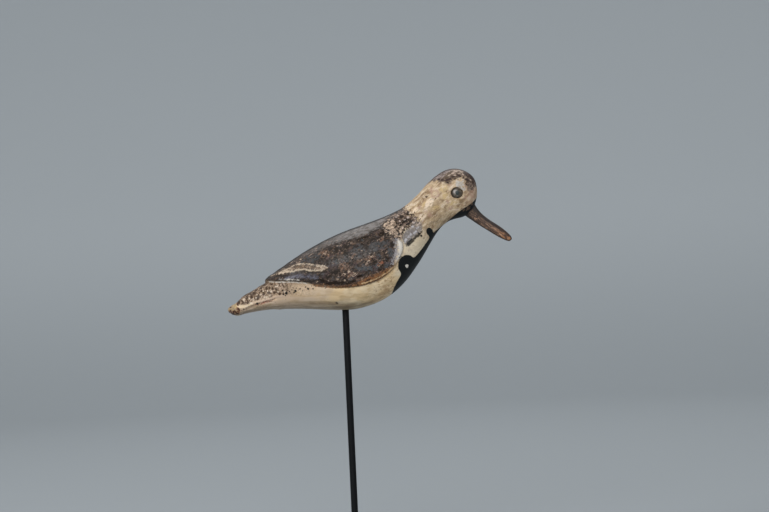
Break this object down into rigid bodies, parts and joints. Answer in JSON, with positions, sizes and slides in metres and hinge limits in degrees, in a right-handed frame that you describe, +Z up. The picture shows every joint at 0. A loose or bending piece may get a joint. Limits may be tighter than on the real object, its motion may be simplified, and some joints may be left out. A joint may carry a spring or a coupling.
{
  "type": "shorebird decoy",
  "caption": "Carved and painted wooden shorebird decoy with folded wings in relief, a let-in bill and domed eyes, standing on a slim steel rod with a round foot.",
  "frame": {"origin": "centre of the foot's underside, on the rod's axis", "axes": "+Z up along the rod, +X the way the bird faces, +Y to the bird's left"},
  "size_m": [0.2215, 0.1, 0.3127],
  "materials": {
    "painted_wood": "old oil paint in cream, black and dark brown, worn to the wood along the edges, semi-gloss",
    "bill_wood": "dark paint worn to reddish brown wood towards the tip, semi-gloss",
    "eye_glass": "polished dark glass dome, opaque",
    "black_steel": "black, satin"
  },
  "bodies": {
    "root": {"carved_body": "painted_wood", "bill": "bill_wood", "right_eye": "eye_glass", "left_eye": "eye_glass", "rod": "black_steel", "foot": "black_steel"}
  },
  "joints": []
}
